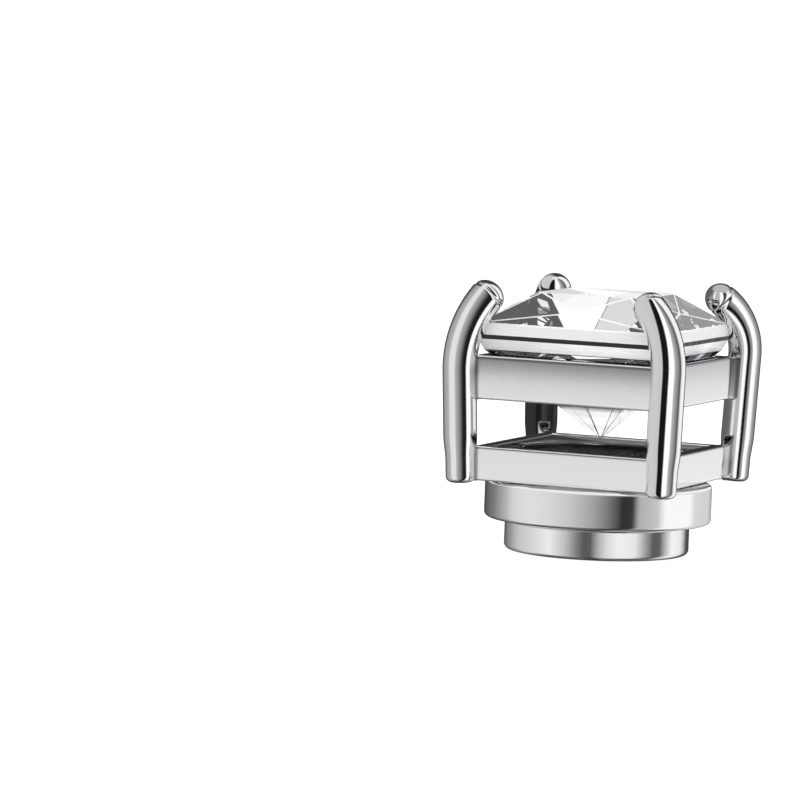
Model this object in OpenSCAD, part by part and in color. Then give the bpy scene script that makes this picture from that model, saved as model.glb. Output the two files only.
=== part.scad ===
// Square magnetic ear stud. A four-claw basket holds a square brilliant stone. It stands on a round
// magnet, and a smaller loose magnet is held under it, behind the ear lobe.
// The origin is the middle of the loose magnet's outer face, +Z runs up to the table of the stone,
// and the flat sides of the stone face X and Y.

/* [Stone] */
// Side of the square stone at its girdle
stone_side = 6; // [5.5:0.5:7]
// Height of the straight band between crown and pavilion
girdle_h = 0.42; // [0.3:0.02:0.5]
// Height of the crown, as a share of the side
crown_share = 0.158; // [0.14:0.001:0.17]
// Depth of the pavilion below the girdle, as a share of the side
pavilion_share = 0.525; // [0.5:0.005:0.54]
// Width of the table, as a share of the side
table_share = 0.56; // [0.52:0.01:0.6]
// Slope of the four corner facets of the crown, degrees
corner_slope = 25; // [24:0.5:26]

/* [Basket] */
// Wall of the two square rails
rail_wall = 0.38; // [0.3:0.02:0.42]
// Height of the upper rail
upper_rail_h = 1.34; // [1.1:0.02:1.4]
// Height of the lower rail
lower_rail_h = 1.04; // [0.8:0.02:1.2]
// How far the upper rail stands out past the stone, on each side
upper_rail_out = 0.07; // [0.04:0.01:0.1]
// Clear height from the upper rail to the girdle
seat_lift = 0.57; // [0.5:0.01:0.62]
// Clear height from the lower rail to the point of the stone
culet_room = 0.2; // [0.1:0.05:0.4]
// Clearance between the stone and the metal
stone_gap = 0.03; // [0.02:0.01:0.05]

/* [Claws] */
// Diameter of the claw wire at the bend
claw_d = 1.04; // [1.03:0.01:1.1]
// Diameter of the claw wire at the foot
claw_foot_d = 0.92; // [0.85:0.01:0.95]
// Diameter of the round tip, a little under the wire's
claw_tip_d = 1; // [0.9:0.01:1.02]
// How deep the corner of the upper rail sinks into the claw
claw_bite = 0.1; // [0.08:0.01:0.14]
// Outward lean of the straight legs, degrees
claw_lean = 3; // [2.5:0.1:3.5]
// How far the feet reach below the lower rail
foot_drop = 0.11; // [0.05:0.01:0.15]

/* [Magnets] */
// Diameter of the magnet under the basket
front_magnet_d = 7; // [6.6:0.1:7.2]
// Height of the magnet under the basket
front_magnet_h = 1.22; // [1:0.02:1.4]
// How far the top of the round boss stays below the top of the lower rail
boss_drop = 0.22; // [0.15:0.01:0.4]
// Diameter of the loose magnet
back_magnet_d = 5.7; // [5:0.1:6.4]
// Height of the loose magnet
back_magnet_h = 0.93; // [0.8:0.01:1.2]
// Width of the small bevel on the magnets' edges
edge_bevel = 0.12; // [0.08:0.01:0.16]
// Gap between the two magnets when they hold with nothing between them
parting_gap = 0.05; // [0.03:0.01:0.08]
// Gap between the magnet under the basket and the lower rail, filled by a film of glue
glue_gap = 0.02; // [0.02:0.01:0.04]

/* [Hidden] */
silver = "#d9dbde";
plated = "#cfd1d4";
clear = "#eef3f7";
root2 = sqrt(2);
round_fn = 64;

// Heights, from the loose magnet's outer face upwards
front_magnet_z = back_magnet_h + parting_gap;
lower_rail_z = front_magnet_z + front_magnet_h + glue_gap;
lower_rail_top = lower_rail_z + lower_rail_h;
pavilion_h = pavilion_share * stone_side;
crown_h = crown_share * stone_side;
culet_z = lower_rail_top + culet_room;
girdle_z = culet_z + pavilion_h;
girdle_top = girdle_z + girdle_h;
upper_rail_top = girdle_z - seat_lift;
upper_rail_z = upper_rail_top - upper_rail_h;

// Rails
upper_rail_side = stone_side + 2 * upper_rail_out;
lower_rail_side = stone_side;
boss_gap = 0.05;
boss_d = lower_rail_side - 2 * rail_wall - 2 * boss_gap;

// Claws: distances from the axis run along the diagonal of the square
claw_r = claw_d / 2;
claw_mid_z = upper_rail_z + upper_rail_h / 2;
claw_mid_c = upper_rail_side / root2 + claw_r - claw_bite;
foot_z = lower_rail_z - foot_drop;
girdle_c = stone_side / root2;

// Each claw is pushed over its corner by hand, so the four bends differ a little.
// Columns: side along X, side along Y, radius of the bend, turn of the bend in degrees
SIDE_X = 0;
SIDE_Y = 1;
BEND = 2;
TURN = 3;
claws = [
    [-1, -1, 2.9, 48],
    [1, -1, 2.3, 53],
    [1, 1, 1.9, 59],
    [-1, 1, 2.3, 53]
];

// Pavilion: where each side's middle line breaks, from the girdle down to the point of the stone.
// Columns: distance from the axis and height above the point, as shares of the half side and the depth
pavilion_breaks = [[1, 1], [0.93, 0.85], [0.8, 0.68], [0.54, 0.418], [0, 0]];
// Crown: the same for the break in the middle of each side
crown_break = [0.81, 0.47];

// Distance of a claw's straight axis from the middle at a height
function leg_c(z) = claw_mid_c + (z - claw_mid_z) * tan(claw_lean);

// Inward and upward reach of a bend, which starts along the leaning leg
function bend_in(r, turn) = r * ((1 - cos(turn)) * cos(claw_lean) - sin(turn) * sin(claw_lean));
function bend_up(r, turn) = r * (sin(turn) * cos(claw_lean) + (1 - cos(turn)) * sin(claw_lean));

// Height where a bend starts, so that its round tip ends one stone_gap above the crown's corner facet
function bend_z(r, turn) = let(
    tip_rise = (claw_tip_d / 2 + stone_gap) / cos(corner_slope),
    start_c = leg_c(0) - bend_in(r, turn),
    level = girdle_top + (girdle_c - start_c) * tan(corner_slope) + tip_rise - bend_up(r, turn)
) level / (1 + tan(claw_lean) * tan(corner_slope));

// Corner of the table: half width, and where the corner facet cuts it
function table_cut(half, table, rise) = root2 * (root2 * half - rise / tan(corner_slope)) - table;

// Points of one quarter of the stone, turned by 90 degrees four times.
// grow moves every face outwards by about that much.
function quarter_points(grow) = let(
    half = stone_side / 2 + grow,
    table = table_share * stone_side / 2 + grow,
    rise = crown_h,
    cut = table_cut(half, table, rise),
    deep = pavilion_h + 2 * grow
) concat(
    [
        [table, -cut, girdle_top + rise + grow],
        [table, cut, girdle_top + rise + grow],
        [half * crown_break[0], 0, girdle_top + grow + rise * crown_break[1]],
        [half, half, girdle_top + grow],
        [half, half, girdle_z - grow]
    ],
    [for (b = [0 : len(pavilion_breaks) - 2])
        [half * pavilion_breaks[b][0], 0, girdle_z - grow - deep * (1 - pavilion_breaks[b][1])]]
);

// Place of each point in a quarter's list
TABLE_A = 0;
TABLE_B = 1;
CROWN = 2;
GIRDLE_TOP = 3;
GIRDLE_LOW = 4;
BREAK = 5;
QUARTER = BREAK + len(pavilion_breaks) - 1;

function turned(p, q) = let(c = [1, 0, -1, 0][q], s = [0, 1, 0, -1][q])
    [c * p[0] - s * p[1], s * p[0] + c * p[1], p[2]];
function at(q, place) = ((q + 4) % 4) * QUARTER + place;

function stone_points(grow) = concat(
    [for (q = [0 : 3]) for (p = quarter_points(grow)) turned(p, q)],
    [[0, 0, culet_z - grow * 3]]
);
culet = 4 * QUARTER;

// Facets, each seen clockwise from outside
crown_facets = [for (q = [0 : 3]) each [
    [at(q, TABLE_A), at(q, TABLE_B), at(q, CROWN)],
    [at(q, TABLE_B), at(q, GIRDLE_TOP), at(q, CROWN)],
    [at(q - 1, GIRDLE_TOP), at(q, TABLE_A), at(q, CROWN)],
    [at(q - 1, GIRDLE_TOP), at(q, CROWN), at(q, GIRDLE_TOP)],
    [at(q, TABLE_B), at(q + 1, TABLE_A), at(q, GIRDLE_TOP)]
]];
table_facet = [[for (q = [3 : -1 : 0]) each [at(q, TABLE_B), at(q, TABLE_A)]]];
girdle_facets = [for (q = [0 : 3]) [
    at(q - 1, GIRDLE_TOP), at(q, GIRDLE_TOP), at(q, GIRDLE_LOW), at(q, BREAK), at(q - 1, GIRDLE_LOW)
]];
pavilion_facets = [for (q = [0 : 3]) for (b = [0 : len(pavilion_breaks) - 3]) each [
    [at(q, GIRDLE_LOW), at(q, BREAK + b + 1), at(q, BREAK + b)],
    [at(q - 1, GIRDLE_LOW), at(q, BREAK + b), at(q, BREAK + b + 1)]
]];
culet_facets = [for (q = [0 : 3]) each [
    [at(q, GIRDLE_LOW), culet, at(q, QUARTER - 1)],
    [at(q - 1, GIRDLE_LOW), at(q, QUARTER - 1), culet]
]];

// Square modified brilliant: an eight-sided table, twenty crown facets and chevrons below the girdle
module brilliant(grow = 0) {
    polyhedron(
        points = stone_points(grow),
        faces = concat(crown_facets, table_facet, girdle_facets, pavilion_facets, culet_facets)
    );
}

module square_rail(side, height, z) {
    inner = side - 2 * rail_wall;
    translate([0, 0, z + height / 2])
        difference() {
            cube([side, side, height], center = true);
            cube([inner, inner, height + 1], center = true);
        }
}

// One claw, drawn in the plane of the diagonal: X is the distance from the axis
module claw(bend, turn) {
    start_z = bend_z(bend, turn);
    start_c = leg_c(start_z);
    leg_h = (start_z - foot_z) / cos(claw_lean);
    translate([start_c, 0, start_z])
        rotate([0, claw_lean, 0]) {
            translate([0, 0, -leg_h])
                cylinder(h = leg_h, d1 = claw_foot_d, d2 = claw_d, $fn = round_fn);
            translate([-bend, 0, 0])
                rotate([90, 0, 0])
                    rotate_extrude(angle = turn, $fn = round_fn)
                        translate([bend, 0])
                            circle(d = claw_d, $fn = round_fn);
            translate([-bend * (1 - cos(turn)), 0, bend * sin(turn)])
                sphere(d = claw_tip_d, $fn = round_fn);
        }
}

module stone() {
    color(clear, 0.6)
        brilliant();
}

module basket() {
    color(silver)
        difference() {
            union() {
                square_rail(upper_rail_side, upper_rail_h, upper_rail_z);
                square_rail(lower_rail_side, lower_rail_h, lower_rail_z);
                for (c = claws)
                    rotate([0, 0, atan2(c[SIDE_Y], c[SIDE_X])])
                        claw(c[BEND], c[TURN]);
            }
            brilliant(stone_gap);
        }
}

// Round plate with a bevel on both edges
module plate(d, h) {
    r = d / 2;
    rotate_extrude($fn = round_fn)
        polygon([
            [0, 0], [r - edge_bevel, 0], [r, edge_bevel],
            [r, h - edge_bevel], [r - edge_bevel, h], [0, h]
        ]);
}

module front_magnet() {
    color(plated) {
        translate([0, 0, front_magnet_z])
            plate(front_magnet_d, front_magnet_h);
        translate([0, 0, front_magnet_z + front_magnet_h / 2])
            cylinder(h = lower_rail_top - boss_drop - front_magnet_z - front_magnet_h / 2,
                d = boss_d, $fn = round_fn);
    }
}

module back_magnet() {
    color(plated)
        plate(back_magnet_d, back_magnet_h);
}

stone();
basket();
front_magnet();
back_magnet();
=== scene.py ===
# %% [markdown]
# # A magnetic ear stud, dressed for its portrait
#
# The stud is 8.3 mm high: a square brilliant stone held by four claws, over a round magnet, with a
# second, loose magnet under it that sits behind the ear lobe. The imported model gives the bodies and
# their places. This script adds what the eye needs at that size: wires that taper and are bent over
# the stone, rails with softened edges, turned discs, a stone that refracts, and a light tent.

# %% Load the frame
import math
import bmesh
import bpy
import numpy as np
from mathutils import Matrix, Vector


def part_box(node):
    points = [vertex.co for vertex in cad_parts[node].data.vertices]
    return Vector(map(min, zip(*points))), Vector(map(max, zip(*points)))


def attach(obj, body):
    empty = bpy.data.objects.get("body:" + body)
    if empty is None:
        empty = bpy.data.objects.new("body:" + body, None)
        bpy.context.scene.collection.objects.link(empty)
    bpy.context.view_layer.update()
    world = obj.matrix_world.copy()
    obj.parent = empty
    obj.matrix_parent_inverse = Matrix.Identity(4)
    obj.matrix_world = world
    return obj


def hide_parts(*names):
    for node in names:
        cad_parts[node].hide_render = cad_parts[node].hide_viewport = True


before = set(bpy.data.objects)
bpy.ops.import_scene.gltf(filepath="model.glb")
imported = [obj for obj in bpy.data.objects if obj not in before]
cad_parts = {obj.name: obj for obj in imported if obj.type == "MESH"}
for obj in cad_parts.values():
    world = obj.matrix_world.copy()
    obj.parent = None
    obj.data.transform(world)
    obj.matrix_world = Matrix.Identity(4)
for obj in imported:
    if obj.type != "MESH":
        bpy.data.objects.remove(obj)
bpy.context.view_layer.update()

MM = 0.001


def box_in_mm(node):
    """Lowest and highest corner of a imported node's box, in mm."""
    return [np.array(corner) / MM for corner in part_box(node)]


stone_lo, stone_hi = box_in_mm("stone")
basket_lo = box_in_mm("basket")[0]
front_lo, front_hi = box_in_mm("front_magnet")
back_lo, back_hi = box_in_mm("back_magnet")

# %% [markdown]
# Every shape here is a surface worked out as one array of points, rows along one direction and
# columns along the other. Quads join neighbouring points, and where a surface comes round to
# itself, its first row or column is used again, so no seam stays open. Most shapes are a profile
# carried round a loop, as a template is on a lathe. All sizes are in millimetres until the mesh is
# made.

# %% Grids of points
def joined_quads(points, close_rows, close_columns):
    """Corner numbers of the quads between neighbouring points of a (rows, columns, 3) array."""
    rows, columns = points.shape[:2]
    number = np.arange(rows * columns).reshape(rows, columns)
    if close_rows:
        number = np.vstack([number, number[:1]])
    if close_columns:
        number = np.hstack([number, number[:, :1]])
    corners = (number[:-1, :-1], number[1:, :-1], number[1:, 1:], number[:-1, 1:])
    return np.stack(corners, axis=-1).reshape(-1, 4)


def as_mesh(surface, close_rows, close_columns):
    """A surface as its list of points and its list of faces."""
    return surface.reshape(-1, 3), joined_quads(surface, close_rows, close_columns)


def arc(centre, radius, first, last, steps):
    """Points of a circular arc in a plane, from angle first to last in degrees."""
    angle = np.radians(np.linspace(first, last, steps))
    x, y = centre[0] + radius * np.cos(angle), centre[1] + radius * np.sin(angle)
    return np.stack([x, y], axis=1)


def circle(count):
    """Points once round the unit circle."""
    around = np.linspace(0, 2 * math.pi, count, endpoint=False)
    return np.stack([np.cos(around), np.sin(around)], axis=1)


def carried_round(profile, loop):
    """Surface of a (distance, height) profile: each distance times each point of a unit loop."""
    flat = profile[:, None, :1] * loop[None]
    height = np.broadcast_to(profile[:, None, 1:], flat.shape[:2] + (1,))
    return np.concatenate([flat, height], axis=-1)


print("quads in a tube, 4 rings of 5 points:", len(joined_quads(np.zeros((4, 5, 3)), False, True)))

# %% [markdown]
# Each surface becomes a mesh in metres. Points that fall together at a seam or a pole are merged,
# and the faces are turned outwards. Polished metal is shaded smooth, with a sharp edge wherever two
# faces meet at more than 35 degrees. The object stays at the origin, it rides on its body, and the
# imported node it stands in for is hidden.

# %% Pieces
SAME_PLACE = 1e-8
METAL_EDGE = 35


def placed(name, data):
    """New object for a mesh or a camera, linked to the scene."""
    thing = bpy.data.objects.new(name, data)
    bpy.context.scene.collection.objects.link(thing)
    return thing


def plain_mesh(name, points, faces):
    """Mesh straight from lists of points and faces."""
    mesh = bpy.data.meshes.new(name)
    mesh.from_pydata(points.tolist(), [], [list(face) for face in faces])
    return mesh


def clean_mesh(name, points, faces, eased):
    """Mesh in metres from points in mm: doubles merged, faces outwards, some edges bevelled.

    Each row of eased bevels the edges between two heights, by a width, and gives the finish."""
    mesh = plain_mesh(name, points * MM, faces)
    cleaner = bmesh.new()
    cleaner.from_mesh(mesh)
    bmesh.ops.remove_doubles(cleaner, verts=cleaner.verts, dist=SAME_PLACE)
    bmesh.ops.recalc_face_normals(cleaner, faces=cleaner.faces)
    for low, high, width, finish in eased:
        edges = [edge for edge in cleaner.edges
                 if all(low < end.co.z / MM < high for end in edge.verts)]
        bmesh.ops.bevel(cleaner, geom=edges, offset=width * MM, offset_type="OFFSET",
                        segments=1, affect="EDGES", profile=0.5, material=finish)
    cleaner.to_mesh(mesh)
    cleaner.free()
    return mesh


def make_piece(name, points, faces, body, slot, node, sharp_angle=METAL_EDGE, eased=()):
    """Object for a closed mesh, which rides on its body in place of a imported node."""
    mesh = clean_mesh(name, points, faces, eased)
    mesh.polygons.foreach_set("use_smooth", [sharp_angle > 0] * len(mesh.polygons))
    if sharp_angle > 0:
        mesh.set_sharp_from_angle(angle=math.radians(sharp_angle))
    piece = placed(name, mesh)
    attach(piece, body)
    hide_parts(node)
    print(name, len(mesh.vertices), "points", len(mesh.polygons), "faces")
    return piece


print("points nearer than", SAME_PLACE / MM, "mm are merged")

# %% [markdown]
# The photograph was taken with a long lens, about 21 degrees round from the square's front and 5
# degrees above the table, with the stud rolled a little clockwise. The lens is aimed past the stud
# by turning the camera, so that the stud stands right of the middle, as in the picture. A shifted
# lens would do the same, but a turned camera also behaves in the other views.

# %% Camera
CAMERA_AZIMUTH = math.radians(21.0)
CAMERA_ELEVATION = math.radians(5.1)
STUD_ROLL = math.radians(2.3)
CAMERA_DISTANCE = 150.0
PIXELS_PER_MM = 32.45
STUD_AT = (601.3, 415.0)
AIM_HEIGHT = 4.2
FRAME_PIXELS = 800
SENSOR = 36.0
NEAREST, FARTHEST = 0.005, 10
focal_pixels = PIXELS_PER_MM * CAMERA_DISTANCE


def camera_axes():
    """Right, up and back of the camera: turned round the stud, then rolled on its line of sight."""
    level = math.cos(CAMERA_ELEVATION)
    back = Vector((math.sin(CAMERA_AZIMUTH) * level, -math.cos(CAMERA_AZIMUTH) * level,
                   math.sin(CAMERA_ELEVATION)))
    right = Vector((math.cos(CAMERA_AZIMUTH), math.sin(CAMERA_AZIMUTH), 0))
    up = back.cross(right)
    return (right * math.cos(STUD_ROLL) + up * math.sin(STUD_ROLL),
            up * math.cos(STUD_ROLL) - right * math.sin(STUD_ROLL), back)


def place_camera():
    """Camera that shows the point of the stud's axis at AIM_HEIGHT at the pixel STUD_AT."""
    data = bpy.data.cameras.new("camera")
    data.sensor_width = SENSOR
    data.lens = focal_pixels * SENSOR / FRAME_PIXELS
    data.clip_start, data.clip_end = NEAREST, FARTHEST
    right, up, back = camera_axes()
    pan, tilt = (math.atan((pixel - FRAME_PIXELS / 2) / focal_pixels) for pixel in STUD_AT)
    aim = Matrix.Rotation(pan, 3, "Y") @ Matrix.Rotation(tilt, 3, "X")
    turn = Matrix((right, up, back)).transposed() @ aim
    spot = Vector((0, 0, AIM_HEIGHT * MM)) + back * CAMERA_DISTANCE * MM
    camera = placed("camera", data)
    camera.matrix_world = Matrix.Translation(spot) @ turn.to_4x4()
    bpy.context.scene.camera = camera
    print("lens", round(data.lens, 1), "mm")


place_camera()

# %% [markdown]
# A cutter gives a stone's heights as shares of its side, so the stone's few numbers follow from its
# packed box. Distances called `reach` run along the diagonal of the square, from the stud's axis to
# a corner or a claw. The skirt is a steeper strip, 0.4 mm high, which the girdle's wheel left below
# the girdle.

# %% Measures of the stone, in mm
CROWN_SHARE = 0.158
PAVILION_SHARE = 0.525
CORNER_SLOPE = math.radians(25)
SKIRT = 0.4
SKIRT_SHARE = 0.94
side = stone_hi[0] - stone_lo[0]
half_side = side / 2
corner_reach = half_side * math.sqrt(2)
culet_height, table_height = stone_lo[2], stone_hi[2]
crown_height = CROWN_SHARE * side
pavilion_depth = PAVILION_SHARE * side
girdle_top = table_height - crown_height
girdle_low = culet_height + pavilion_depth
print("side", round(side, 3), "girdle from", round(girdle_low, 3), "to", round(girdle_top, 3))

# %% [markdown]
# The basket is two square rails, one above the other, and four claws at their corners. The upper
# rail carries the stone's sloping sides, and the lower one is glued to the magnet. Their heights
# hang on the stone's girdle and point, as a setter would measure them.

# %% Measures of the rails, in mm
FOOT_DROP = 0.11
POINT_ROOM = 0.2
SEAT_LIFT = 0.57
UPPER_RAIL_HEIGHT = 1.34
UPPER_RAIL_OUT = 0.07
WALL = 0.38
foot_height = basket_lo[2]
lower_rail_low = foot_height + FOOT_DROP
lower_rail_top = culet_height - POINT_ROOM
upper_rail_top = girdle_low - SEAT_LIFT
upper_rail_low = upper_rail_top - UPPER_RAIL_HEIGHT
LOWER_HALF = half_side
UPPER_HALF = half_side + UPPER_RAIL_OUT
print("rails", round(lower_rail_low, 3), round(lower_rail_top, 3), round(upper_rail_low, 3),
      round(upper_rail_top, 3))

# %% [markdown]
# A claw is a round wire: straight and leaning outwards a little, then bent over the corner of the
# stone, with a domed end. The setter pushes each one over by hand, so the four bends differ. The
# bend of each starts at the height from which its end just reaches the crown's corner facet.

# %% How far up the claws bend
WIRE = 1.04
LEAN = math.radians(3)
RAIL_BITE = 0.1
SEAT_GAP = 0.03
TIP_RADIUS = 0.5
leg_middle_height = (upper_rail_low + upper_rail_top) / 2
leg_middle_reach = UPPER_HALF * math.sqrt(2) + WIRE / 2 - RAIL_BITE
CLAWS = {
    "claw_left": dict(side_x=-1, side_y=-1, radius=2.9, turn=48, leg_width=1.04, tip_width=1.1,
                      dome_share=0.9),
    "claw_near": dict(side_x=1, side_y=-1, radius=2.3, turn=53, leg_width=1.06, tip_width=1.03,
                      aside=-0.3),
    "claw_right": dict(side_x=1, side_y=1, radius=1.9, turn=59, leg_width=1.04, tip_width=1.02,
                       dome_share=1.2),
    "claw_back": dict(side_x=-1, side_y=1, radius=2.3, turn=53, leg_width=1.04, tip_width=1.06)}


def bend_start(radius, turn):
    """Height where a bend starts: the crown's corner facet less what the bend rises going in."""
    inward = radius * ((1 - math.cos(turn)) * math.cos(LEAN) - math.sin(turn) * math.sin(LEAN))
    upward = radius * (math.sin(turn) * math.cos(LEAN) + (1 - math.cos(turn)) * math.sin(LEAN))
    reach_at_zero = leg_middle_reach - leg_middle_height * math.tan(LEAN) - inward
    rise = (TIP_RADIUS + SEAT_GAP) / math.cos(CORNER_SLOPE)
    level = girdle_top + (corner_reach - reach_at_zero) * math.tan(CORNER_SLOPE) + rise - upward
    return level / (1 + math.tan(LEAN) * math.tan(CORNER_SLOPE))


for name, claw in CLAWS.items():
    one_bend = claw["radius"], math.radians(claw["turn"])
    print(name, "bends from", round(bend_start(*one_bend), 3), "mm up")

# %% [markdown]
# The claw could be a curve with a bevel, but a wire that tapers and has a seat cut for the stone
# needs its own surface. That starts with the wire's middle line, drawn in the plane of the square's
# diagonal: a leaning straight line and then an arc. The leg is filed thinner towards its foot, and
# a tip that was hammered wider grows to the outside only, so it stays clear of the stone.

# %% Middle line of a claw
FOOT_SHARE = 0.89
CLAW_FOOT = foot_height + 0.06
INNER_TIP = 0.97
TAPER_FROM, TAPER_TO = lower_rail_top - 0.45, lower_rail_top + 0.35
LINE_POINTS = 60


def smooth_step(value, low, high):
    """Zero below low, one above high, and a smooth rise between."""
    share = np.clip((value - low) / (high - low), 0, 1)
    return share * share * (3 - 2 * share)


def wire_line(radius, turn, leg_width, tip_width):
    """Middle line, lean from the vertical, radius and share of the bend, from the foot to the dome.

    Leg: foot + t (sin lean, cos lean). Bend: centre + radius (cos a, sin a), with a from -lean."""
    start_height = bend_start(radius, turn)
    start_reach = leg_middle_reach + (start_height - leg_middle_height) * math.tan(LEAN)
    leg_length = (start_height - CLAW_FOOT) / math.cos(LEAN)
    foot_reach = start_reach - leg_length * math.sin(LEAN)
    along = np.linspace(0, 1, LINE_POINTS)
    leg = np.stack([foot_reach + along * leg_length * math.sin(LEAN),
                    CLAW_FOOT + along * leg_length * math.cos(LEAN)], axis=1)
    angle = np.linspace(0, turn, LINE_POINTS)[1:]
    share = (angle / turn) ** 2
    centre = np.array([start_reach - radius * math.cos(LEAN),
                       start_height + radius * math.sin(LEAN)])
    outward = np.stack([np.cos(angle - LEAN), np.sin(angle - LEAN)], axis=1)
    bend = centre + radius * outward
    bend += share[:, None] * outward * (tip_width - INNER_TIP) / 2
    tilt = np.concatenate([np.full(LINE_POINTS, LEAN), LEAN - angle])
    full = smooth_step(leg[:, 1], TAPER_FROM, TAPER_TO)
    size = np.concatenate([leg_width * (FOOT_SHARE + (1 - FOOT_SHARE) * full),
                           leg_width + (tip_width - leg_width) * share]) / 2
    return np.vstack([leg, bend]), tilt, size, np.concatenate([np.zeros(LINE_POINTS), share])


print("top of a claw's middle line", wire_line(*one_bend, WIRE, WIRE)[0][-1].round(3))

# %% [markdown]
# The ends are finished by hand: the foot is rounded over, and the tip is pressed with a cup burr,
# which domes it and leaves a fine groove where the cup's rim met the wire. Both are more rings on
# the same line, whose radius follows a quarter of a circle.

# %% Foot and dome of a claw
FOOT_ROUNDING = 0.2
FOOT_POINTS = 12
DOME_POINTS = 28
GROOVE_DEPTH, GROOVE_PLACE, GROOVE_WIDTH = 0.03, 0.08, 0.05


def ended_wire(radius, turn, leg_width, tip_width, dome_share):
    """Middle, lean, ring radius and bent share of every ring, with the foot and the dome added.

    dome_share is the length of the dome in radii of the wire."""
    line, tilt, size, bent = wire_line(radius, turn, leg_width, tip_width)
    foot = arc((0, 0), FOOT_ROUNDING, -90, 0, FOOT_POINTS)
    dome = arc((0, 0), size[-1], 0, 90, DOME_POINTS)
    dome[:, 0] -= GROOVE_DEPTH * np.exp(-((dome[:, 1] - GROOVE_PLACE) / GROOVE_WIDTH) ** 2)
    dome[:, 1] *= dome_share
    dome = dome[1:]
    first_way, last_way = (np.array([math.sin(tilt[end]), math.cos(tilt[end])]) for end in (0, -1))
    keep = np.linalg.norm(line - line[0], axis=1) > FOOT_ROUNDING
    middle = np.vstack([line[:1], line[0] + (foot[:, 1:] + FOOT_ROUNDING) * first_way,
                        line[keep], line[-1] + dome[:, 1:] * last_way])
    ring = np.concatenate([[0], size[0] - FOOT_ROUNDING + foot[:, 0], size[keep], dome[:, 0]])
    below, above = FOOT_POINTS + 1, DOME_POINTS - 1
    lean = np.concatenate([np.full(below, tilt[0]), tilt[keep], np.full(above, tilt[-1])])
    share = np.concatenate([np.zeros(below), bent[keep], np.ones(above)])
    return middle, lean, ring, share


print("rings in a claw:", len(ended_wire(*one_bend, WIRE, WIRE, 1)[0]))

# %% [markdown]
# The setter cuts a notch into the inner side of each claw, and the stone's corner sits in it. Here
# the notch is a limit: where a ring of the wire would come nearer to the axis than the stone's
# corner does at that height, its points move out to the stone's surface and a small gap more.

# %% Surface of a claw
RING_POINTS = 72
SEAT_TOP = girdle_top + 0.6
NO_SEAT = -1.0


def seat_reach(height, sideways):
    """How far out the stone's corner comes at a height and a sideways distance, plus a gap."""
    below = np.interp(height, (culet_height, girdle_low - SKIRT, girdle_low), (0, SKIRT_SHARE, 1))
    above = np.clip(height - girdle_top, 0, None) / math.tan(CORNER_SLOPE)
    edge = corner_reach * below - above - np.abs(sideways) + SEAT_GAP * math.sqrt(2)
    near = (height > upper_rail_top) & (height < SEAT_TOP)
    return np.where(near, edge, NO_SEAT)


def claw_surface(side_x, side_y, radius, turn, leg_width, tip_width, aside=0.0, dome_share=1.0):
    """A circle carried along the wire: point = middle + r (cos t across + sin t sideways).

    The sides say which corner, turn is in degrees, and aside is how far the tip leans aside."""
    middle, lean, ring, share = ended_wire(radius, math.radians(turn), leg_width, tip_width,
                                           dome_share)
    cos, sin = circle(RING_POINTS).T
    across = np.stack([np.cos(lean), -np.sin(lean)], axis=1)
    plane = middle[:, None] + ring[:, None, None] * cos[None, :, None] * across[:, None]
    sideways = ring[:, None] * sin[None] + (aside * share)[:, None]
    height = plane[..., 1]
    reach = np.maximum(plane[..., 0], seat_reach(height, sideways))
    diagonal = np.array([side_x, side_y]) / math.sqrt(2)
    tangent = np.array([-side_y, side_x]) / math.sqrt(2)
    flat = reach[..., None] * diagonal + sideways[..., None] * tangent
    return np.concatenate([flat, height[..., None]], axis=-1)


print("the seat's reach at the girdle", round(float(seat_reach(girdle_top, 0.0)), 3), "mm")

# %% [markdown]
# The rails are square frames of flat wire. Polishing rounds their edges and leaves the faces very
# slightly crowned, and that crown is what turns a flat grey reflection into a soft gradient. A box
# with a bevel would have dead flat faces, so each rail is a rounded section carried round a square:
# a point of the section at distance d from the axis becomes the square of half side d.

# %% Sections of the rails
EDGE_ROUNDING = 0.06
EDGE_POINTS, FACE_POINTS, LOOP_POINTS = 6, 18, 80
RAILS = {
    "rail_upper": dict(half=UPPER_HALF, low=upper_rail_low, top=upper_rail_top, crown=0.016,
                       taper=0.0),
    "rail_lower": dict(half=LOWER_HALF, low=lower_rail_low, top=lower_rail_top, crown=0.006,
                       taper=0.05)}


def rail_section(half, low, top, crown, taper):
    """Section (distance, height) of a rail: rounded corners, outer face crowned and tapered."""
    inner = half - WALL
    r = EDGE_ROUNDING
    low_out = arc((half - r, low + r), r, -90, 0, EDGE_POINTS)
    top_out = arc((half - r, top - r), r, 0, 90, EDGE_POINTS)
    top_in = arc((inner + r, top - r), r, 90, 180, EDGE_POINTS)
    low_in = arc((inner + r, low + r), r, 180, 270, EDGE_POINTS)
    face = np.linspace(low + r, top - r, FACE_POINTS)[1:-1]
    outer = np.stack([np.full(len(face), half), face], axis=1)
    section = np.vstack([low_out, outer, top_out, top_in, low_in])
    span = (section[:, 1] - low) / (top - low)
    outside = section[:, 0] > half - r - 1e-9
    section[:, 0] -= np.where(outside, crown * (2 * span - 1) ** 2 + taper * (1 - span), 0)
    return section


def square_loop(count):
    """Points once round the unit square, count to a side, closer together near the corners."""
    step = np.sin(np.linspace(-90, 90, count, endpoint=False) * math.pi / 180)
    one = np.ones(count)
    return np.vstack([np.stack(pair, axis=1) for pair in
                      ((one, step), (-step, one), (-one, -step), (step, -one))])


print("points in a rail's section:", len(rail_section(**RAILS["rail_upper"])))

# %% [markdown]
# Where the wires meet the rails, solder or the casting leaves a small soft fillet. A boolean union
# with a bevel would be fragile on curved wires. Instead each surface swells by itself where the
# other one is near, with a smooth push along its normals, so the light runs softly into the join.

# %% Soft joins
JOIN = 0.12


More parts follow.
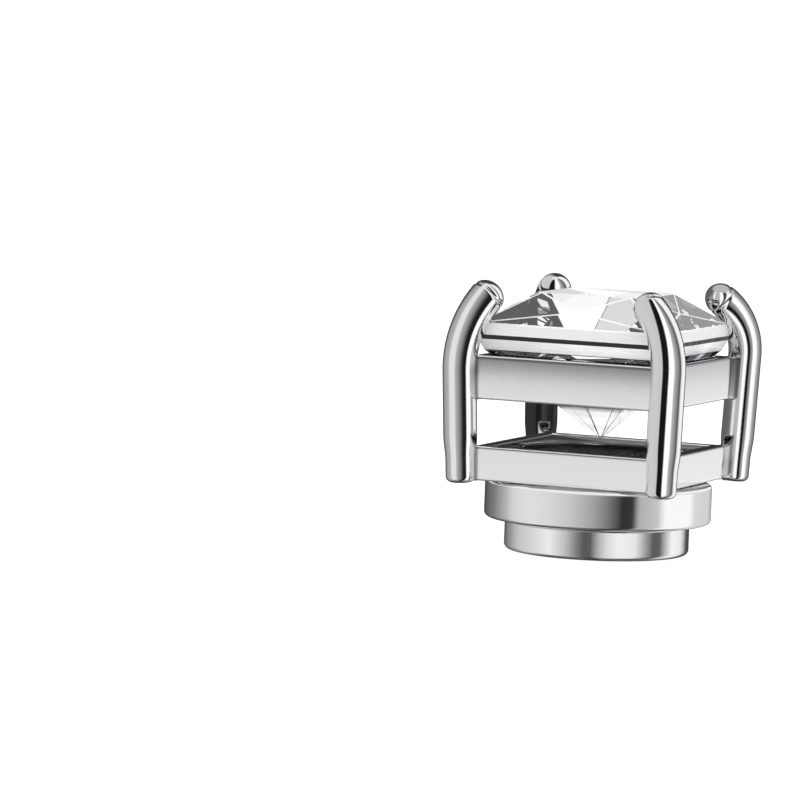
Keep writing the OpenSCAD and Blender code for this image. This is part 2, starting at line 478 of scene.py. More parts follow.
def rail_distance(points):
    """Distance from points to the nearer of the two rails, less than zero inside one."""
    across = np.maximum(np.abs(points[..., 0]), np.abs(points[..., 1]))
    found = []
    for rail in RAILS.values():
        half, low, top = rail["half"], rail["low"], rail["top"]
        level = np.abs(points[..., 2] - (low + top) / 2) - (top - low) / 2
        found.append(np.maximum(np.maximum(across - half, half - WALL - across), level))
    return np.minimum(*found)


def wire_distance(points):
    """Distance from points to the nearest claw's straight leg, less than zero inside one."""
    flat = np.abs(points[..., :2])
    reach = (flat[..., 0] + flat[..., 1]) / math.sqrt(2)
    sideways = (flat[..., 0] - flat[..., 1]) / math.sqrt(2)
    axis = leg_middle_reach + (points[..., 2] - leg_middle_height) * math.tan(LEAN)
    share = np.clip((points[..., 2] - foot_height) / (upper_rail_top - foot_height), 0, 1)
    return np.hypot(reach - axis, sideways) - WIRE * (FOOT_SHARE + (1 - FOOT_SHARE) * share) / 2


def swelled(surface, middles, distance, close_rows):
    """Surface pushed out along its normals by (J - |d|)^2 / 4J where the other is nearer than J."""
    if close_rows:
        step = np.roll(surface, -1, 0) - np.roll(surface, 1, 0)
    else:
        step = np.gradient(surface, axis=0)
    normal = np.cross(step, np.roll(surface, -1, 1) - np.roll(surface, 1, 1))
    length = np.linalg.norm(normal, axis=-1, keepdims=True)
    normal = np.divide(normal, length, out=np.zeros_like(normal), where=length > 1e-12)
    outward = np.sign(np.sum(normal * (surface - middles), axis=-1, keepdims=True).mean())
    push = np.clip(JOIN - np.abs(distance(surface)), 0, None) ** 2 / (4 * JOIN)
    return surface + outward * normal * push[..., None]


print("the joins swell by up to", round(JOIN / 4, 3), "mm")

# %% [markdown]
# The basket is one casting on the real stud, but as six pieces each can have its own light. The
# claws aren't mirrored in the rails, where a wire beside itself only reads as a doubled edge.

# %% The basket's rails and claws
rails, claws = {}, {}
for name, measures in RAILS.items():
    rail = carried_round(rail_section(**measures), square_loop(LOOP_POINTS))
    rail = swelled(rail, rail.mean(axis=0, keepdims=True), wire_distance, True)
    rails[name] = make_piece(name, *as_mesh(rail, True, True), "stud", "basket_metal", "basket")
for name, measures in CLAWS.items():
    claw = claw_surface(**measures)
    claw = swelled(claw, claw.mean(axis=1, keepdims=True), rail_distance, False)
    claws[name] = make_piece(name, *as_mesh(claw, False, True), "stud", "basket_metal", "basket")
    claws[name].visible_glossy = False

# %% [markdown]
# The magnets are small discs of sintered magnet in a bright plated skin. Their outline is turned
# about the axis, as on a lathe. The rounded edges are what shows most at this size.

# %% Outline of a disc
DISC_POINTS = 192
FLAT_POINTS, RIM_POINTS, ROUND_POINTS = 12, 14, 10


def flat_face(first, last, height):
    """Points along a flat face at a height, from one radius to another."""
    return np.stack([np.linspace(first, last, FLAT_POINTS), np.full(FLAT_POINTS, height)], axis=1)


def disc_profile(radius, low, top, low_rounding, top_rounding):
    """Half outline of a disc with rounded edges, from the bottom's middle to the top's edge."""
    wall = np.linspace(low + low_rounding, top - top_rounding, RIM_POINTS)[1:-1]
    low_centre = (radius - low_rounding, low + low_rounding)
    top_centre = (radius - top_rounding, top - top_rounding)
    return np.vstack([flat_face(0, radius - low_rounding, low)[:-1],
                      arc(low_centre, low_rounding, -90, 0, ROUND_POINTS),
                      np.stack([np.full(len(wall), radius), wall], axis=1),
                      arc(top_centre, top_rounding, 0, 90, ROUND_POINTS)])


print("radii of the discs", front_hi[0].round(3), back_hi[0].round(3))

# %% [markdown]
# The front magnet has a low round boss that fits inside the lower rail, and its plate stays a film
# of glue below that rail. The back magnet is a plain disc, and it is the only piece on the body
# "clasp", so it stays behind when the stud is lifted off.

# %% Magnets
GLUE_GAP = 0.02
BOSS_GAP = 0.05
BOSS_ROUNDING = 0.05
BOSS_POINTS = 6
plate_top = lower_rail_low - GLUE_GAP
boss_radius = LOWER_HALF - WALL - BOSS_GAP
boss_edge = boss_radius - BOSS_ROUNDING
front = np.vstack([disc_profile(front_hi[0], front_lo[2], plate_top,
                                low_rounding=0.14, top_rounding=0.1),
                   [[boss_radius, plate_top]],
                   arc((boss_edge, front_hi[2] - BOSS_ROUNDING), BOSS_ROUNDING, 0, 90, BOSS_POINTS),
                   flat_face(boss_edge, 0, front_hi[2])[1:]])
back = disc_profile(back_hi[0], back_lo[2], back_hi[2], low_rounding=0.16, top_rounding=0.06)
back = np.vstack([back, flat_face(back[-1, 0], 0, back_hi[2])[1:]])
front_disc, back_disc = (carried_round(outline, circle(DISC_POINTS)) for outline in (front, back))
front_magnet = make_piece("front_magnet_disc", *as_mesh(front_disc, False, True),
                          "stud", "magnet_plating", "front_magnet")
back_magnet = make_piece("back_magnet_disc", *as_mesh(back_disc, False, True),
                         "clasp", "magnet_plating", "back_magnet")

# %% [markdown]
# The stone is a square modified brilliant of cubic zirconia. Flat facets are its whole look, so its
# mesh has one face for each facet and no smoothing. All four sides are alike, so one side's corners
# are written down and turned about the axis.

# %% Corners of the stone
TABLE_SHARE = 0.56
CROWN_BREAK = (0.81, 0.47)
PAVILION_BREAK = (0.68, 0.56)
QUARTER_TURNS = [(1, 0), (0, 1), (-1, 0), (0, -1)]


def quarter_corners():
    """Corners of one side of the stone: table, crown break, girdle, skirt and pavilion break."""
    table = TABLE_SHARE * half_side
    cut = math.sqrt(2) * (corner_reach - crown_height / math.tan(CORNER_SLOPE)) - table
    skirt = half_side * SKIRT_SHARE
    return np.array([(table, -cut, table_height), (table, cut, table_height),
                     (half_side * CROWN_BREAK[0], 0, girdle_top + crown_height * CROWN_BREAK[1]),
                     (half_side, half_side, girdle_top), (half_side, half_side, girdle_low),
                     (skirt, skirt, girdle_low - SKIRT), (skirt, 0, girdle_low - SKIRT),
                     (half_side * PAVILION_BREAK[0], 0,
                      culet_height + pavilion_depth * PAVILION_BREAK[1])])


def stone_corners():
    """The quarter's corners turned four times about the axis, and the point of the stone last."""
    corners = quarter_corners()
    turns = [np.array([[cos, sin, 0], [-sin, cos, 0], [0, 0, 1]]) for cos, sin in QUARTER_TURNS]
    return np.vstack([corners @ turn for turn in turns] + [[[0, 0, culet_height]]])


print("corners of the stone:", len(stone_corners()))

# %% [markdown]
# Below the table there are twenty crown facets, a straight girdle, the steeper skirt under it, and
# a pavilion whose sides are folded once and run to the point. Each facet is a list of corners, and
# a quarter shares some of them with the quarter before and the one after it.

# %% Facets of the stone
def stone_facets():
    """The table, then the facets of each quarter in turn, as lists of corner numbers."""
    count = len(quarter_corners())
    culet = 4 * count
    facets = [[at for quarter in range(4) for at in (quarter * count, quarter * count + 1)]]
    for quarter in range(4):
        here, before, after = (((quarter + shift) % 4) * count for shift in (0, -1, 1))
        a, b, crown, top, low, skirt, middle, fold = range(here, here + count)
        last_top, last_low, last_skirt = range(before + 3, before + 6)
        facets += [[a, b, crown], [b, top, crown], [last_top, a, crown], [last_top, crown, top],
                   [b, after, top], [last_top, top, low, last_low],
                   [last_low, low, skirt, middle, last_skirt],
                   [skirt, fold, middle], [last_skirt, middle, fold],
                   [skirt, culet, fold], [last_skirt, fold, culet]]
    return facets


print("facets of the stone:", len(stone_facets()))

# %% [markdown]
# On a cheap stone the edges between the facets are worn by tumbling, and these narrow worn edges
# frame the facets with white lines. The edge under the girdle and those of the pavilion were broken
# on a coarse wheel, and their finish is painted shade, which draws them as dark lines. All are
# bevels, and each carries the number of its finish.

# %% The stone
POLISHED, GROUND, BROKEN_PAINTED_SHADE = range(3)
# Columns: lowest and highest height of the edges, width of their bevel, its finish
EASED_EDGES = [(girdle_low - 0.02, girdle_low + 0.02, 0.07, BROKEN_PAINTED_SHADE),
               (culet_height - 0.1, girdle_low - SKIRT + 0.1, 0.012, BROKEN_PAINTED_SHADE),
               (girdle_top - 0.02, table_height + 0.02, 0.032, GROUND)]
stone = make_piece("stone_brilliant", stone_corners(), stone_facets(), "stud", "stone", "stone",
                   sharp_angle=0, eased=EASED_EDGES)

# %% [markdown]
# A finish is a small network of nodes. One function turns hex colours into the linear values that
# the renderer works with, and another adds a node with its settings and its links. The noise scales
# are counts to the millimetre.

# %% Material helpers
TO_THE_MM = 1 / MM
NOISE_LOW, NOISE_HIGH = 0.3, 0.7


def linear(hex_colour):
    """sRGB hex to linear RGBA."""
    channels = [int(hex_colour[i:i + 2], 16) / 255 for i in (1, 3, 5)]
    return [c / 12.92 if c <= 0.04045 else ((c + 0.055) / 1.055) ** 2.4 for c in channels] + [1.0]


def connect(tree, node, **inputs):
    """Each input is a value, or a socket or node to link from, first output; i0, i1 go by place."""
    for key, value in inputs.items():
        value = value.outputs[0] if isinstance(value, bpy.types.Node) else value
        by_place = key[0] == "i" and key[1:].isdigit()
        socket = node.inputs[int(key[1:]) if by_place else key.replace("_", " ")]
        if isinstance(value, bpy.types.NodeSocket):
            tree.links.new(value, socket)
        else:
            socket.default_value = value


def add(tree, kind, settings=None, **inputs):
    """New node of a kind, with its settings, and its inputs set or linked."""
    node = tree.nodes.new(kind)
    for key, value in (settings or {}).items():
        setattr(node, key, value)
    connect(tree, node, **inputs)
    return node


def empty_tree(owner):
    """The node tree of a material or a world, with nothing in it."""
    owner.use_nodes = True
    owner.node_tree.nodes.clear()
    return owner.node_tree


def new_material(name):
    """Material with its tree and Principled shader, and the place in the object for patterns."""
    material = bpy.data.materials.new(name)
    tree = empty_tree(material)
    shader = add(tree, "ShaderNodeBsdfPrincipled")
    add(tree, "ShaderNodeOutputMaterial", Surface=shader)
    print("finish", name)
    return material, tree, shader, add(tree, "ShaderNodeTexCoord").outputs["Object"]


def marked(tree, shader, haze, relief, rough, strength, depth):
    """Roughness between the two values of rough as the haze varies, and a bump of a depth in mm."""
    low, high = rough
    varied = add(tree, "ShaderNodeMapRange", Value=haze, i1=NOISE_LOW, i2=NOISE_HIGH, i3=low,
                 i4=high)
    bump = add(tree, "ShaderNodeBump", Strength=strength, Distance=depth * MM, Height=relief)
    connect(tree, shader, Roughness=varied, Normal=bump)


print("hex #808080 is", round(linear("#808080")[0], 3), "in linear light")

# %% [markdown]
# The basket is cast stainless steel, tumbled and then buffed to a mirror. Buffing leaves faint
# waviness, about one wave to the millimetre, and a haze of fine lines, which soften the
# reflections.

# %% Polished steel
WAVES, HAZE = 0.9 * TO_THE_MM, 2.5 * TO_THE_MM


def polished_steel():
    """Mirror-buffed stainless steel with slight waviness and a varying haze."""
    material, tree, shader, place = new_material("buffed_stainless_steel")
    waves = add(tree, "ShaderNodeTexNoise", Vector=place, Scale=WAVES, Detail=2.0)
    haze = add(tree, "ShaderNodeTexNoise", Vector=place, Scale=HAZE, Detail=3.0)
    marked(tree, shader, haze, waves, rough=(0.05, 0.1), strength=0.04, depth=0.02)
    connect(tree, shader, Base_Color=linear("#E6E6E6"), Metallic=1.0)
    return material


buffed_steel = polished_steel()
for piece in (*rails.values(), *claws.values()):
    piece.data.materials.append(buffed_steel)

# %% [markdown]
# The magnets are plated with bright nickel, which is a little warmer than the steel. The lathe
# leaves fine rings on the flat faces, and they still show through the plating as a silky sheen. The
# rings are a sine of the distance from the axis, so they have no seam. They are drawn 0.06 mm
# apart, which is coarser than the real ones, because finer rings would not show.

# %% Bright nickel plate
RING_SPACING = 0.06


def distance_from_axis(tree, place):
    """Socket with the distance of a place from the stud's axis."""
    split = add(tree, "ShaderNodeSeparateXYZ", Vector=place)
    flat = add(tree, "ShaderNodeCombineXYZ", X=split.outputs[0], Y=split.outputs[1])
    return add(tree, "ShaderNodeVectorMath", {"operation": "LENGTH"}, i0=flat).outputs["Value"]


def nickel_plate():
    """Bright nickel on a turned disc, with fine concentric turning marks on its flat faces."""
    material, tree, shader, place = new_material("bright_nickel_plate")
    turns = add(tree, "ShaderNodeMath", {"operation": "MULTIPLY"},
                i0=distance_from_axis(tree, place), i1=2 * math.pi / (RING_SPACING * MM))
    wave = add(tree, "ShaderNodeMath", {"operation": "SINE"}, i0=turns)
    haze = add(tree, "ShaderNodeTexNoise", Vector=place, Scale=1.8 * TO_THE_MM, Detail=3.0)
    marked(tree, shader, haze, wave, rough=(0.04, 0.09), strength=0.25, depth=0.004)
    connect(tree, shader, Base_Color=linear("#DDDDDC"), Metallic=1.0)
    return material


plate_finish = nickel_plate()
for piece in (front_magnet, back_magnet):
    piece.data.materials.append(plate_finish)

# %% [markdown]
# The face inside the basket is ground, with coarse scratches round the axis. Its darkness is
# painted shade: a dark base colour, and a nearly black tint of the specular, which colours the
# grazing light, so it stays dark where a mirror brightens when one looks along its face.

# %% Ground nickel face, with painted shade
GROUND_PAINTED_SHADE_FACE = 1
FACE_DEPTH = 0.06


def ground_painted_shade_nickel():
    """Ground nickel: one-dimensional noise of the distance from the axis, as scratches and haze."""
    material, tree, shader, place = new_material("ground_painted_shade_nickel_face")
    scratches = add(tree, "ShaderNodeTexNoise", {"noise_dimensions": "1D"},
                    W=distance_from_axis(tree, place), Scale=14 * TO_THE_MM, Detail=3.0)
    marked(tree, shader, scratches, scratches, rough=(0.22, 0.4), strength=0.3, depth=0.005)
    # Painted shade: the dark base colour, and the nearly black specular tint that keeps grazing light
    # off.
    connect(tree, shader, Base_Color=linear("#2C2C2D"), Specular_Tint=linear("#101010"),
            Metallic=1.0)
    return material


# The boss's top faces take the ground finish with its painted shade.
front_magnet.data.materials.append(ground_painted_shade_nickel())
for face in front_magnet.data.polygons:
    if face.center.z / MM > front_hi[2] - FACE_DEPTH and face.normal.z > 0.5:
        face.material_index = GROUND_PAINTED_SHADE_FACE
ground_painted_shade_faces = [face for face in front_magnet.data.polygons if face.material_index == GROUND_PAINTED_SHADE_FACE]
print("ground faces:", len(ground_painted_shade_faces))

# %% [markdown]
# Where the stone is ground and not polished, it is white with fine streaks, like frosted glass.
# From the inside it is painted nearly black, as painted shade on the inner side of the same surface.
# That dark band, seen through the facets of the crown, gives the stone its contrast.

# %% Ground zirconia, with painted shade inside
ZIRCONIA_INDEX = 2.16
STREAKS = (0.4 * TO_THE_MM, 0.4 * TO_THE_MM, 14 * TO_THE_MM)


def ground_zirconia_painted_inner_shade():
    """Frosted zirconia with streaks along the girdle, mixed with painted near black shade inside."""
    material, tree, shader, place = new_material("ground_zirconia_painted_inner_shade")
    streaks = add(tree, "ShaderNodeMapping", Vector=place, Scale=STREAKS)
    grain = add(tree, "ShaderNodeTexNoise", Vector=streaks, Scale=1.0, Detail=2.0)
    marked(tree, shader, grain, grain, rough=(0.12, 0.4), strength=0.3, depth=0.02)
    connect(tree, shader, Base_Color=linear("#FFFFFF"), IOR=ZIRCONIA_INDEX, Transmission_Weight=0.4)
    # Painted shade: a near black diffuse for the inner side of the ground surface.
    painted_shade_within = add(tree, "ShaderNodeBsdfDiffuse", Color=linear("#08090B"))
    inside = add(tree, "ShaderNodeNewGeometry").outputs["Backfacing"]
    both = add(tree, "ShaderNodeMixShader", i0=inside, i1=shader, i2=painted_shade_within)
    connect(tree, tree.nodes["Material Output"], Surface=both)
    return material


stone_finishes = {GROUND: ground_zirconia_painted_inner_shade()}

# %% [markdown]
# The broken edge under the girdle is given painted shade: a dull dark shader with a varying
# roughness, so it stays dark whatever the light does.

# %% Broken edge of the stone, with painted shade
def broken_painted_shade_zirconia():
    """The broken edge under the girdle, with painted shade: dark, dull, with a varying roughness."""
    material, tree, shader, place = new_material("broken_painted_shade_zirconia_edge")
    rough_patches = add(tree, "ShaderNodeTexNoise", Vector=place, Scale=3 * TO_THE_MM, Detail=2.0)
    rough = add(tree, "ShaderNodeMapRange", Value=rough_patches, i1=NOISE_LOW, i2=NOISE_HIGH, i3=0.35,
                i4=0.6)
    # Painted shade: the dark base colour and the low specular level.
    connect(tree, shader, Base_Color=linear("#141518"), IOR=ZIRCONIA_INDEX, Specular_IOR_Level=0.1,
            Roughness=rough)
    return material


stone_finishes[BROKEN_PAINTED_SHADE] = broken_painted_shade_zirconia()

# %% [markdown]
# The facets are clear cubic zirconia: a high index, no roughness and no tint. Two things are mixed
# in. Near its point the stone is so thin that one looks almost straight through. And the polished
# wires would mirror every facet as a speck, which is finer than the picture shows, so for them the
# stone is clear. Both count only for light that hasn't been inside the stone yet.

# %% Polished zirconia
POINT = 1.0
POINT_BLUR = 0.1
CLEARNESS = 0.8


def first_sight(tree):
    """Outputs of the light path, and a node that is one before the light enters the stone."""
    path = add(tree, "ShaderNodeLightPath").outputs
    first = add(tree, "ShaderNodeMath", {"operation": "LESS_THAN"},
                i0=path["Transmission Depth"], i1=0.5)
    return path, first


def cubic_zirconia():
    """Glass of a high index, clearer at the point and clear for mirrored light."""
    material, tree, shader, place = new_material("cubic_zirconia")
    connect(tree, shader, Base_Color=linear("#FFFFFF"), Roughness=0.0, IOR=ZIRCONIA_INDEX,
            Transmission_Weight=1.0)
    height = add(tree, "ShaderNodeSeparateXYZ", Vector=place).outputs[2]
    point = add(tree, "ShaderNodeMapRange", Value=height,
                i1=(culet_height + POINT - POINT_BLUR) * MM,
                i2=(culet_height + POINT + POINT_BLUR) * MM, i3=CLEARNESS, i4=0.0)
    path, first = first_sight(tree)
    thin = add(tree, "ShaderNodeMath", {"operation": "MAXIMUM"}, i0=point, i1=path["Is Glossy Ray"])
    share = add(tree, "ShaderNodeMath", {"operation": "MULTIPLY"}, i0=thin, i1=first)
    clear = add(tree, "ShaderNodeBsdfTransparent")
    seen = add(tree, "ShaderNodeMixShader", i0=share, i1=shader, i2=clear)
    connect(tree, tree.nodes["Material Output"], Surface=seen)
    return material


stone_finishes[POLISHED] = cubic_zirconia()

# %% [markdown]
# The finishes go on the stone in the order of their numbers. The bevels already carry theirs, and
# the girdle and the skirt under it are found by their height. The metal isn't seen through the
# stone: in the picture the facets show only white and black.

# %% Finishes of the stone
for finish in (POLISHED, GROUND, BROKEN_PAINTED_SHADE):
    stone.data.materials.append(stone_finishes[finish])
for facet in stone.data.polygons:
    if facet.material_index == POLISHED and girdle_low - SKIRT < facet.center.z / MM < girdle_top:
        facet.material_index = GROUND
for piece in (*rails.values(), *claws.values(), front_magnet, back_magnet):
    piece.visible_transmission = False
counts = [sum(facet.material_index == finish for facet in stone.data.polygons)
          for finish in (POLISHED, GROUND, BROKEN_PAINTED_SHADE)]
print("facets polished, ground and broken:", counts)

# %% [markdown]
# Polished metal shows nothing but what stands around it, so a jeweller's photographer builds a
# tent: white cards with black gaps between them. The gaps draw the black lines down the wires and
# the shades round the discs. Each part has its own set, as when a shot is put together from
# several. A card is a pair: its compass angle in degrees, with the front at 0, and its brightness.

# %% Cards round each part
NEAR_CARDS = [(-180, 0.06), (-160, 0.06), (-146, 0.2), (-125, 0.7), (-60, 0.75), (-20, 0.7),
              (-15, 0.01), (20, 0.01), (30, 1.5), (55, 1.3), (65, 0.55), (90, 0.3), (109, 0.08),
              (119, 0.9), (135, 1.2), (160, 1.0), (169, 0.08), (180, 0.06)]
LEFT_CARDS = [(-180, 0.06), (-150, 0.06), (-118, 0.12), (-100, 0.42), (-60, 0.55), (-50, 0.93),
              (-14, 0.95), (-6, 0.55), (18, 0.32), (30, 0.15), (42, 0.02), (64, 0.01), (71, 1.3),
              (97, 1.2), (105, 0.35), (118, 0.35), (128, 1.2), (150, 1.0), (169, 0.08), (180, 0.06)]
RIGHT_CARDS = [(-180, 0.1), (-160, 0.12), (-60, 0.16), (-40, 0.3), (-30, 1.0), (-20, 1.0),
               (-14, 0.55), (10, 0.6), (18, 1.3), (33, 1.2), (40, 0.01), (54, 0.01), (60, 0.28),
               (72, 0.4), (80, 1.3), (104, 1.2), (122, 0.45), (150, 0.28), (165, 0.1), (180, 0.1)]
RAIL_CARDS = [(-180, 0.1), (-140, 0.2), (-120, 0.7), (-60, 0.9), (-30, 0.94), (-10, 0.92), (5, 0.4),
              (25, 0.3), (40, 0.9), (120, 0.9), (146, 1.08), (168, 1.08), (176, 0.1), (180, 0.1)]
FRONT_CARDS = [(-180, 0.55), (-171, 0.45), (-165, 0.04), (-148, 0.05), (-134, 0.12), (-108, 0.28),
               (-86, 0.6), (-74, 0.9), (-55, 1.02), (-30, 0.95), (-8, 0.78), (16, 0.5), (34, 0.22),
               (46, 0.04), (57, 0.05), (64, 0.6), (84, 0.75), (94, 1.3), (128, 1.3), (138, 0.92),
               (172, 0.8), (180, 0.55)]
BACK_CARDS = [(-180, 0.1), (-165, 0.04), (-140, 0.12), (-115, 0.4), (-92, 0.75), (-62, 0.95),
              (-40, 1.15), (-18, 0.7), (-4, 0.3), (6, 0.13), (14, 0.15), (24, 0.6), (34, 0.95),
              (48, 1.2), (70, 1.1), (84, 0.5), (96, 0.14), (107, 0.16), (118, 0.7), (130, 1.25),
              (150, 1.1), (160, 0.6), (170, 0.1), (180, 0.08)]
STONE_CARDS = [(-180, 1.0), (60, 1.0), (90, 0.5), (120, 1.0), (180, 1.0)]
print("cards round the near claw:", len(NEAR_CARDS))

# %% [markdown]
# Black cloth hung above or below the cards darkens the top of the rails' faces, the leg of the far
# claw, and the edges of the discs. It is a list of pairs too: a height angle in degrees, and how
# much of the light it takes away there.

# %% Cloths above and below
STONE_CLOTH = [(-90, 0.8), (-60, 0.6), (-45, 0), (20, 0), (90, 0)]
CLAW_CLOTH = [(-90, 0.8), (-60, 0.6), (-45, 0), (90, 0)]
RAIL_CLOTH = [(-90, 0.8), (-40, 0.6), (-20, 0.0), (-10, 0.02), (-7, 0.08), (-5, 0.16), (-4, 0.26),
              (-3, 0.38), (-2, 0.5), (-1, 0.6), (0, 0.68), (4, 0.85), (30, 0.85), (45, 0), (90, 0)]
DARK_LEG = [(-90, 0.5), (-32, 0), (-24, 0), (-18, 0.97), (5, 0.97), (10, 0), (90, 0)]
DISC_CLOTH = [(-90, 0.8), (-55, 0.8), (-38, 0), (-1, 0), (4, 0.9), (35, 0.85), (45, 0), (90, 0)]
print("the far claw's leg keeps", round(1 - DARK_LEG[3][1], 2), "of its light")

# %% [markdown]
# A shader can read the direction from the middle of the tent to a point of its wall. Two angles
# come out of that, the compass angle and the height, and a colour ramp turns each into a
# brightness.

# %% From directions to brightness
def grey(level):
    """A neutral RGBA colour of a linear brightness."""
    return (level, level, level, 1)


def brightness_at(tree, share, stops, half_turn):
    """Brightness at an angle, between (angle, brightness) pairs from -half_turn to half_turn.

    The share of the way round goes through a colour ramp with a mark for each pair."""
    node = add(tree, "ShaderNodeValToRGB", Fac=share)
    marks = node.color_ramp.elements
    for angle, level in stops[1:-1]:
        marks.new(0.5 + angle / half_turn / 2).color = grey(level)
    marks[0].color = grey(stops[0][1])
    marks[len(marks) - 1].color = grey(stops[-1][1])
    return node


def compass_and_height(tree, direction):
    """Two nodes with shares from 0 to 1: the compass angle and the height angle.

    A half means the front for the one, and the horizon for the other."""
    unit = add(tree, "ShaderNodeVectorMath", {"operation": "NORMALIZE"}, i0=direction)
    split = add(tree, "ShaderNodeSeparateXYZ", Vector=unit)
    front = add(tree, "ShaderNodeMath", {"operation": "MULTIPLY"}, i0=split.outputs[1], i1=-1.0)
    compass = add(tree, "ShaderNodeMath", {"operation": "ARCTAN2"}, i0=split.outputs[0], i1=front)
    tilt = add(tree, "ShaderNodeMath", {"operation": "ARCSINE"}, i0=split.outputs[2])
    return [add(tree, "ShaderNodeMapRange", Value=angle, i1=-turn, i2=turn, i3=0.0, i4=1.0)
            for angle, turn in ((compass, math.pi), (tilt, math.pi / 2))]


print("brightness 0.5 as a colour", grey(0.5))

# %% [markdown]
# One tent is a large sphere that glows: the cards, darkened by the cloth, under a plain ceiling. It
# is clear to look through, and it doesn't glow for light that has been inside the stone.

# %% A tent's glow
CLOTH_BLACK = grey(0.015)
CEILING_BLUR = 10


def tent_glow(name, cards, cloth, ceiling, ceiling_from):
    """Emission = cards (compass) mixed with black (cloth) mixed with the ceiling above a height."""
    material = bpy.data.materials.new(name)
    material.cycles.emission_sampling = "NONE"
    tree = empty_tree(material)
    compass, height = compass_and_height(tree, add(tree, "ShaderNodeTexCoord").outputs["Object"])
    shaded = add(tree, "ShaderNodeMix", {"data_type": "RGBA"},
                 i0=brightness_at(tree, height, cloth, 90),
                 i6=brightness_at(tree, compass, cards, 180), i7=CLOTH_BLACK)
    top = [(-90, 0), (ceiling_from, 0), (ceiling_from + CEILING_BLUR, 1), (90, 1)]
    light = add(tree, "ShaderNodeMix", {"data_type": "RGBA"},
                i0=brightness_at(tree, height, top, 90), i6=shaded.outputs[2], i7=grey(ceiling))
    glow = add(tree, "ShaderNodeEmission", Color=light.outputs[2], Strength=first_sight(tree)[1])
    clear = add(tree, "ShaderNodeBsdfTransparent")
    both = add(tree, "ShaderNodeAddShader", i0=glow, i1=clear)
    add(tree, "ShaderNodeOutputMaterial", Surface=both)
    return material


print("the cloths keep", CLOTH_BLACK[0], "of white")

# %% [markdown]
# The tents stand one inside the other, and each is seen only by its own part. Blender calls this
# light linking: a collection names the objects that receive a light, and a glowing mesh counts as
# one. The camera sees none of them.

# %% Hanging a tent
SHELL_RINGS, SHELL_POINTS = 33, 64


def tent(name, radius, receivers, cards, cloth, ceiling=1.0, ceiling_from=44):
    """Glowing shell of a radius in metres: a half circle turned round, seen by its receivers."""
    shell = carried_round(arc((0, 0), radius, -90, 90, SHELL_RINGS), circle(SHELL_POINTS))
    mesh = plain_mesh(name, *as_mesh(shell, False, True))
    mesh.materials.append(tent_glow(name, cards, cloth, ceiling, ceiling_from))
    sphere = placed(name, mesh)
    for ray in ("camera", "diffuse", "transmission", "shadow"):
        setattr(sphere, "visible_" + ray, False)
    group = bpy.data.collections.new(name + "_receivers")
    for receiver in receivers:
        group.objects.link(receiver)
    sphere.light_linking.receiver_collection = group
    print(name, "lights", [receiver.name for receiver in receivers])


tent("stone_tent", 1.4, [stone], STONE_CARDS, STONE_CLOTH, ceiling=0.7)
tent("near_tent", 1.5, [claws["claw_near"]], NEAR_CARDS, CLAW_CLOTH, ceiling_from=74)
tent("left_tent", 1.6, [claws["claw_left"]], LEFT_CARDS, CLAW_CLOTH, ceiling_from=66)
tent("right_tent", 2.1, [claws["claw_right"]], RIGHT_CARDS, CLAW_CLOTH, ceiling=0.6)
tent("leg_tent", 1.7, [claws["claw_back"]], NEAR_CARDS, DARK_LEG, ceiling_from=70)
tent("rail_tent", 1.8, [*rails.values()], RAIL_CARDS, RAIL_CLOTH)
tent("front_tent", 1.9, [front_magnet], FRONT_CARDS, DISC_CLOTH, ceiling=1.15, ceiling_from=-3)
tent("back_tent", 2.0, [back_magnet], BACK_CARDS, DISC_CLOTH)

# %% [markdown]
# The room is what the stone shows after all its inner reflections: white, with a slate band low
# down and less light from every second sector, so that neighbouring facets differ. It also lights
# the paper. Bare metal doesn't mirror it, because it has its tents.

# %% Room light
ROOM_LIGHT = 1.35
BAND_GREY = "#5A6070"
ROOM_BAND = [(-90, 1.0), (-64, 1.0), (-56, 0.0), (-26, 0.0), (-18, 1.0), (90, 1.0)]
ROOM_SECTORS = [(-180, 1.0), (-150, 0.6), (-120, 1.0), (-90, 0.55), (-60, 1.0), (-30, 0.6),
                (0, 1.0), (30, 0.55), (60, 1.0), (90, 0.6), (120, 1.0), (150, 0.55), (180, 1.0)]


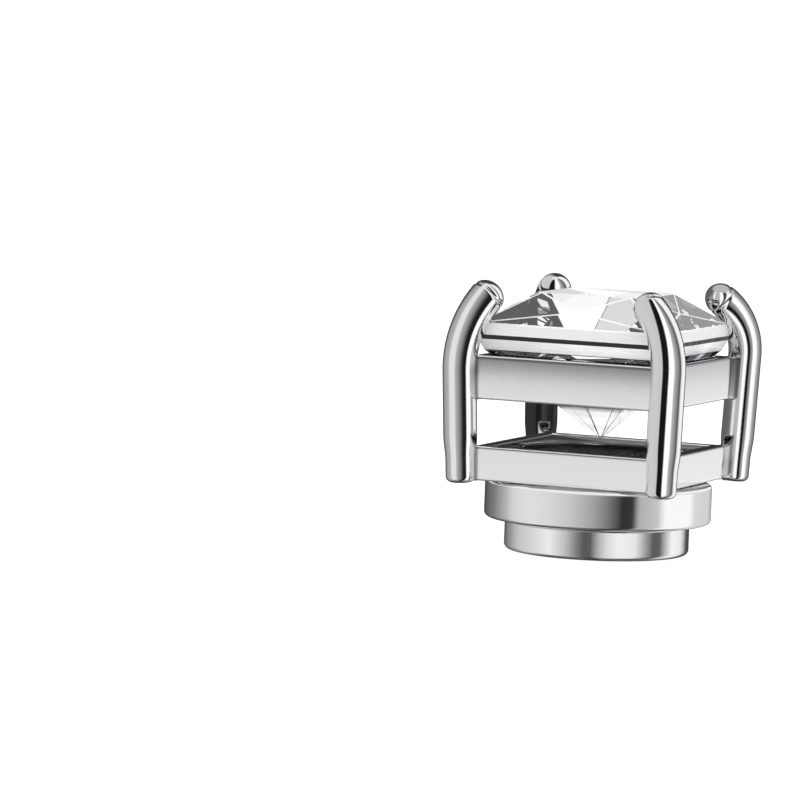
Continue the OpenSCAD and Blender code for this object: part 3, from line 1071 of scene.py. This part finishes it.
def room_light():
    """World: white times the sectors, slate in the band, and nothing for bare metal."""
    world = bpy.data.worlds.new("room")
    bpy.context.scene.world = world
    world.cycles.sampling_method = "NONE"
    tree = empty_tree(world)
    compass, height = compass_and_height(tree, add(tree, "ShaderNodeTexCoord").outputs["Generated"])
    path, first = first_sight(tree)
    band, sectors = (
        add(tree, "ShaderNodeMath", {"operation": "MAXIMUM"},
            i0=brightness_at(tree, share, stops, half_turn), i1=path["Is Diffuse Ray"])
        for share, stops, half_turn in ((height, ROOM_BAND, 90), (compass, ROOM_SECTORS, 180)))
    white = add(tree, "ShaderNodeMix", {"data_type": "RGBA"}, i0=band, i6=linear(BAND_GREY),
                i7=sectors)
    mirrored = add(tree, "ShaderNodeMath", {"operation": "MULTIPLY"}, i0=path["Is Glossy Ray"],
                   i1=first)
    strength = add(tree, "ShaderNodeMapRange", Value=mirrored, i3=ROOM_LIGHT, i4=0.0)
    light = add(tree, "ShaderNodeBackground", Color=white.outputs[2], Strength=strength)
    add(tree, "ShaderNodeOutputWorld", Surface=light)


room_light()
print("the room's strength is", ROOM_LIGHT)

# %% [markdown]
# The stud stands on matt white paper that curves up into the backdrop, so no horizon shows. It is
# one profile turned round the axis, the same from every side. It glows a little by itself, which
# washes it out to white, and only the camera sees it.

# %% Floor and backdrop
FLOOR_REACH, FLOOR_BEND, BACKDROP_TOP = 0.6, 0.25, 1.2
FLOOR_POINTS, BEND_POINTS = 40, 24


def paper_sweep():
    """Profile in metres: a flat floor, a quarter of a circle and a wall, turned round the axis."""
    flat = np.stack([np.linspace(0, FLOOR_REACH, FLOOR_POINTS), np.zeros(FLOOR_POINTS)], axis=1)
    bend = arc((FLOOR_REACH, FLOOR_BEND), FLOOR_BEND, -90, 0, BEND_POINTS)
    profile = np.vstack([flat[:-1], bend, [[FLOOR_REACH + FLOOR_BEND, BACKDROP_TOP]]])
    sweep = carried_round(profile, circle(DISC_POINTS))
    mesh = plain_mesh("floor", *as_mesh(sweep, False, True))
    material, tree, shader = new_material("white_paper")[:3]
    connect(tree, shader, Base_Color=linear("#A0A0A0"), Roughness=1.0, Specular_IOR_Level=0.0,
            Emission_Color=linear("#FFFFFF"), Emission_Strength=0.8)
    mesh.materials.append(material)
    floor = placed("floor", mesh)
    for ray in ("diffuse", "glossy", "transmission", "shadow"):
        setattr(floor, "visible_" + ray, False)


paper_sweep()

# %% [markdown]
# Light bounces many times inside a stone of this index, and a path that ends too early would leave
# a black facet, so the paths may be long. The Standard view keeps the paper white, where a
# film-like one would grey it.

# %% Render look
STONE_BOUNCES, METAL_BOUNCES, CLEAR_BOUNCES = 32, 12, 64
scene = bpy.context.scene
scene.view_settings.view_transform = "Standard"
scene.cycles.max_bounces = STONE_BOUNCES
scene.cycles.transmission_bounces = STONE_BOUNCES
scene.cycles.glossy_bounces = METAL_BOUNCES
scene.cycles.transparent_max_bounces = CLEAR_BOUNCES
print("view", scene.view_settings.view_transform, "with up to", scene.cycles.max_bounces, "bounces")
